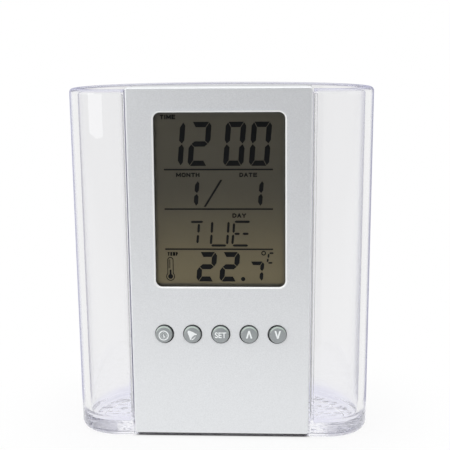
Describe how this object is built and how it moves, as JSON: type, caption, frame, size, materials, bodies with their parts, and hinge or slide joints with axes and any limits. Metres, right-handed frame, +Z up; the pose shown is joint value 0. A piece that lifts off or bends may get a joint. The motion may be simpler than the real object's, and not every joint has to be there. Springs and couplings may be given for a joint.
{
  "type": "table clock with pen holder",
  "caption": "Clear D-shaped pen cup with a slim battery clock and thermometer module that slides into a slot in its flat front.",
  "frame": {"origin": "middle of the overall box, on the surface that the cup stands on", "axes": "+X to the right seen from the front, +Y from the clock's face to the back of the cup, +Z up"},
  "size_m": [0.097, 0.0506, 0.1126],
  "materials": {
    "clear_plastic": "clear moulded polystyrene, polished",
    "silver_plastic": "satin silver paint with a fine flake",
    "lens_plastic": "clear polished sheet",
    "display_film": "smooth grey polarising film",
    "display_glass": "clear",
    "display_reflector": "matt pearl reflector film",
    "white_plastic": "plain moulded",
    "strip_rubber": "striped conductive rubber",
    "board": "green solder mask",
    "plated_steel": "nickel plate",
    "black_resin": "smooth",
    "key_rubber": "soft moulded",
    "key_plastic": "grey silver, glossy, white symbols",
    "shell_plastic": "fine spark texture",
    "brass": "rolled disc",
    "battery_jacket": "plain printed jacket"
  },
  "bodies": {
    "cup": {"cup": "clear_plastic"},
    "clock": {"front_panel": "silver_plastic", "display_lens": "lens_plastic", "display_front_film": "display_film", "display_front_glass": "display_glass", "display_rear_glass": "display_glass", "display_reflector": "display_reflector", "display_tray": "white_plastic", "contact_strip": "strip_rubber", "circuit_board": "board", "board_screw_1": "plated_steel", "board_screw_2": "plated_steel", "chip_blob": "black_resin", "quartz_crystal": "plated_steel", "capacitor": "black_resin", "temperature_sensor": "black_resin", "rubber_pad": "key_rubber", "rear_shell": "shell_plastic", "case_screw_1": "plated_steel", "case_screw_2": "plated_steel", "case_screw_3": "plated_steel", "case_screw_4": "plated_steel", "sounder": "brass", "battery_lower": "battery_jacket", "battery_upper": "battery_jacket", "contact_bridge": "plated_steel", "contact_plus": "plated_steel", "contact_minus": "plated_steel", "spring_lower": "plated_steel", "spring_upper": "plated_steel"},
    "time_key": {"button_time": "key_plastic"},
    "alarm_key": {"button_alarm": "key_plastic"},
    "set_key": {"button_set": "key_plastic"},
    "up_key": {"button_up": "key_plastic"},
    "down_key": {"button_down": "key_plastic"},
    "door": {"battery_door": "shell_plastic"}
  },
  "joints": [
    {"name": "clock_slide", "type": "slide", "parent": "cup", "child": "clock", "axis": [0, 0, 1], "range_m": [0, 0.112]},
    {"name": "time_press", "type": "slide", "parent": "clock", "child": "time_key", "axis": [0, 1, 0], "range_m": [0, 0.0006], "stiffness_N_per_m": 1500},
    {"name": "alarm_press", "type": "slide", "parent": "clock", "child": "alarm_key", "axis": [0, 1, 0], "range_m": [0, 0.0006], "stiffness_N_per_m": 1500},
    {"name": "set_press", "type": "slide", "parent": "clock", "child": "set_key", "axis": [0, 1, 0], "range_m": [0, 0.0006], "stiffness_N_per_m": 1500},
    {"name": "up_press", "type": "slide", "parent": "clock", "child": "up_key", "axis": [0, 1, 0], "range_m": [0, 0.0006], "stiffness_N_per_m": 1500},
    {"name": "down_press", "type": "slide", "parent": "clock", "child": "down_key", "axis": [0, 1, 0], "range_m": [0, 0.0006], "stiffness_N_per_m": 1500},
    {"name": "door_tilt", "type": "hinge", "parent": "clock", "child": "door", "pos_m": [0, -0.00862, 0.0059], "axis": [-1, 0, 0], "range_deg": [0, 70]}
  ]
}
